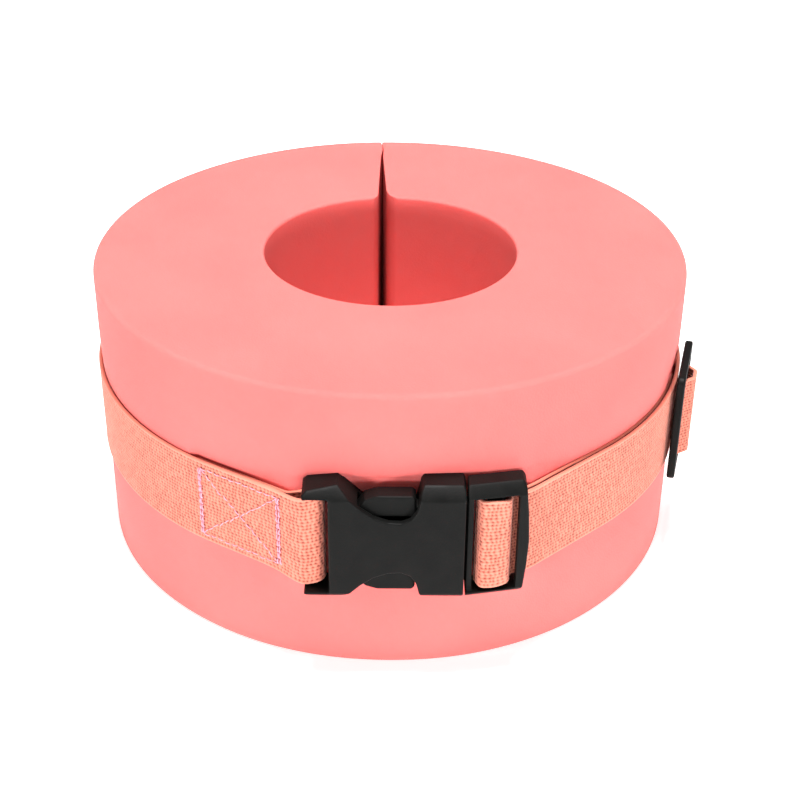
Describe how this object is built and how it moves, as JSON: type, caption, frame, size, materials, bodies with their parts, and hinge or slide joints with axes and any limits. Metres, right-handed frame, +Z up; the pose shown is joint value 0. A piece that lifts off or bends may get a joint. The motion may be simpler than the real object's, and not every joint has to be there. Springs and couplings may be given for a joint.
{
  "type": "aquatic foam cuff",
  "caption": "Foam float ring, slit at the back, held shut round a limb by a webbing strap with a side-release buckle and an adjusting slider.",
  "frame": {"origin": "under the middle of the whole object's box, on the surface that it stands on", "axes": "+Z up along the ring's axis, -Y towards the buckle, +X towards the slider"},
  "size_m": [0.1994, 0.2022, 0.095],
  "materials": {
    "foam": "matte closed-cell foam",
    "webbing": "woven, matte",
    "thread": "spun thread",
    "buckle_plastic": "fine-grained"
  },
  "bodies": {
    "cuff": {"foam_ring": "foam", "strap_main": "webbing", "box_stitch": "thread", "buckle_socket": "buckle_plastic"},
    "strap_end": {"strap_lead": "webbing", "strap_tail": "webbing"},
    "plug": {"buckle_plug": "buckle_plastic", "plug_web_loop": "webbing"},
    "latch_upper": {"latch_arm_upper": "buckle_plastic"},
    "latch_lower": {"latch_arm_lower": "buckle_plastic"},
    "slider": {"slider_frame": "buckle_plastic", "slider_web_loop": "webbing", "tail_stitch": "thread"}
  },
  "joints": [
    {"name": "strap_release", "type": "hinge", "parent": "cuff", "child": "strap_end", "pos_m": [0.05169, 0.08449, 0.0483], "axis": [0, 0, 1], "range_deg": [0, 20], "deforming": ["latch_arm_upper", "latch_arm_lower"]},
    {"name": "plug_pivot", "type": "hinge", "parent": "strap_end", "child": "plug", "pos_m": [0.03869, -0.09025, 0.0483], "axis": [0, 0, 1], "range_deg": [-20, 0]},
    {"name": "latch_upper_press", "type": "hinge", "parent": "plug", "child": "latch_upper", "pos_m": [0.01469, -0.09565, 0.0594], "axis": [0, -1, 0], "range_deg": [0, 9], "stiffness_Nm_per_rad": 0.1},
    {"name": "latch_lower_press", "type": "hinge", "parent": "plug", "child": "latch_lower", "pos_m": [0.01469, -0.09565, 0.0372], "axis": [0, 1, 0], "range_deg": [0, 9], "stiffness_Nm_per_rad": 0.1},
    {"name": "slider_adjust", "type": "hinge", "parent": "strap_end", "child": "slider", "pos_m": [-0.00171, 0.00315, 0.0483], "axis": [0, 0, 1], "range_deg": [-18, 35]}
  ],
  "couplings": [
    {"joint": "plug_pivot", "follows": "strap_release", "ratio": -1}
  ]
}
